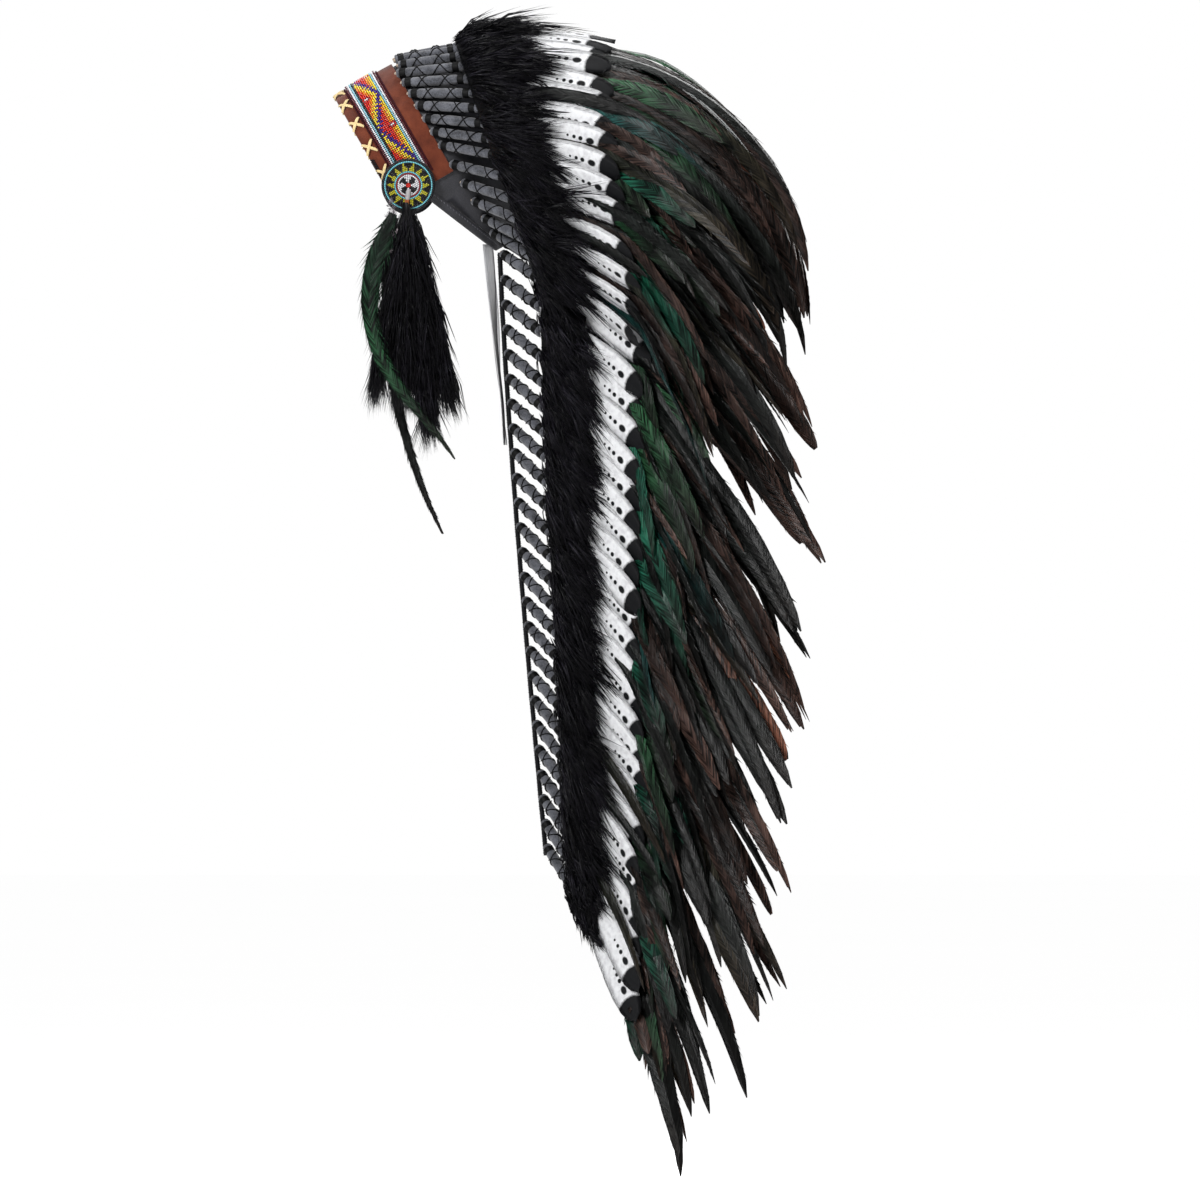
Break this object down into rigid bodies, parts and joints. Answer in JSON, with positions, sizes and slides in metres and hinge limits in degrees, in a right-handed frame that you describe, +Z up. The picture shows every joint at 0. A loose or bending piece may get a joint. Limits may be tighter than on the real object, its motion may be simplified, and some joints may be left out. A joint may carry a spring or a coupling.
{
  "type": "feathered headdress",
  "caption": "Feathered headdress with a beaded brow band, rosettes with fur drops, bound quill wraps, fur trim and a long trail of white feathers and dark plumes.",
  "frame": {"origin": "middle of the ring on which the feather row starts, inside the cap, where the wearer's head sits", "axes": "as worn and hanging: +Z up, the wearer faces -X, the wearer's left side is -Y; the cap's own axis leans 60 degrees back from +Z"},
  "size_m": [0.4596, 0.561, 1.0988],
  "materials": {
    "black_leather": "soft black leather, slightly worn",
    "brown_suede": "matt brown suede",
    "seed_beads": "opaque glazed glass seed beads in many colours",
    "cream_lace": "flat pale leather lace",
    "grey_felt": "grey felt wraps bound with black waxed thread",
    "black_fur": "dyed black rabbit fur, long and soft",
    "white_feather": "white goose feathers with black dots and black tips",
    "dark_feather": "black cock tail feathers with a green sheen and brown tips",
    "black_cloth": "black wool felt strip",
    "grey_satin": "silver grey satin ribbon"
  },
  "bodies": {
    "root": {"cap": "black_leather", "brow_band": "brown_suede", "bead_strip": "seed_beads", "brow_lacing": "cream_lace", "rosette_left": "seed_beads", "rosette_right": "seed_beads", "crown_wrap_01": "grey_felt", "crown_wrap_02": "grey_felt", "crown_wrap_03": "grey_felt", "crown_wrap_04": "grey_felt", "crown_wrap_05": "grey_felt", "crown_wrap_06": "grey_felt", "crown_wrap_07": "grey_felt", "crown_wrap_08": "grey_felt", "crown_wrap_09": "grey_felt", "crown_wrap_10": "grey_felt", "crown_wrap_11": "grey_felt", "crown_wrap_12": "grey_felt", "crown_wrap_13": "grey_felt", "crown_wrap_14": "grey_felt", "crown_wrap_15": "grey_felt", "crown_wrap_16": "grey_felt", "crown_wrap_17": "grey_felt", "crown_wrap_18": "grey_felt", "crown_wrap_19": "grey_felt", "crown_wrap_20": "grey_felt", "crown_wrap_21": "grey_felt", "crown_wrap_22": "grey_felt", "crown_wrap_23": "grey_felt", "crown_wrap_24": "grey_felt", "crown_wrap_25": "grey_felt", "crown_wrap_26": "grey_felt", "crown_wrap_27": "grey_felt", "crown_wrap_28": "grey_felt", "crown_wrap_29": "grey_felt", "crown_white_feathers": "white_feather", "crown_plumes": "dark_feather", "crown_fur": "black_fur", "trail_strip": "black_cloth", "trail_wraps_1_left": "grey_felt", "trail_wraps_1_right": "grey_felt", "trail_wraps_2_left": "grey_felt", "trail_wraps_2_right": "grey_felt", "trail_wraps_3_left": "grey_felt", "trail_wraps_3_right": "grey_felt", "trail_white_feathers_left": "white_feather", "trail_white_feathers_right": "white_feather", "trail_plumes_left": "dark_feather", "trail_plumes_right": "dark_feather", "trail_fur_left": "black_fur", "trail_fur_right": "black_fur", "drop_fur_left": "black_fur", "drop_fur_right": "black_fur", "drop_green_plume_left": "dark_feather", "drop_green_plume_right": "dark_feather", "drop_dark_plume_left": "dark_feather", "drop_dark_plume_right": "dark_feather", "tie_ribbon_left": "grey_satin", "tie_ribbon_right": "grey_satin"}
  },
  "joints": []
}
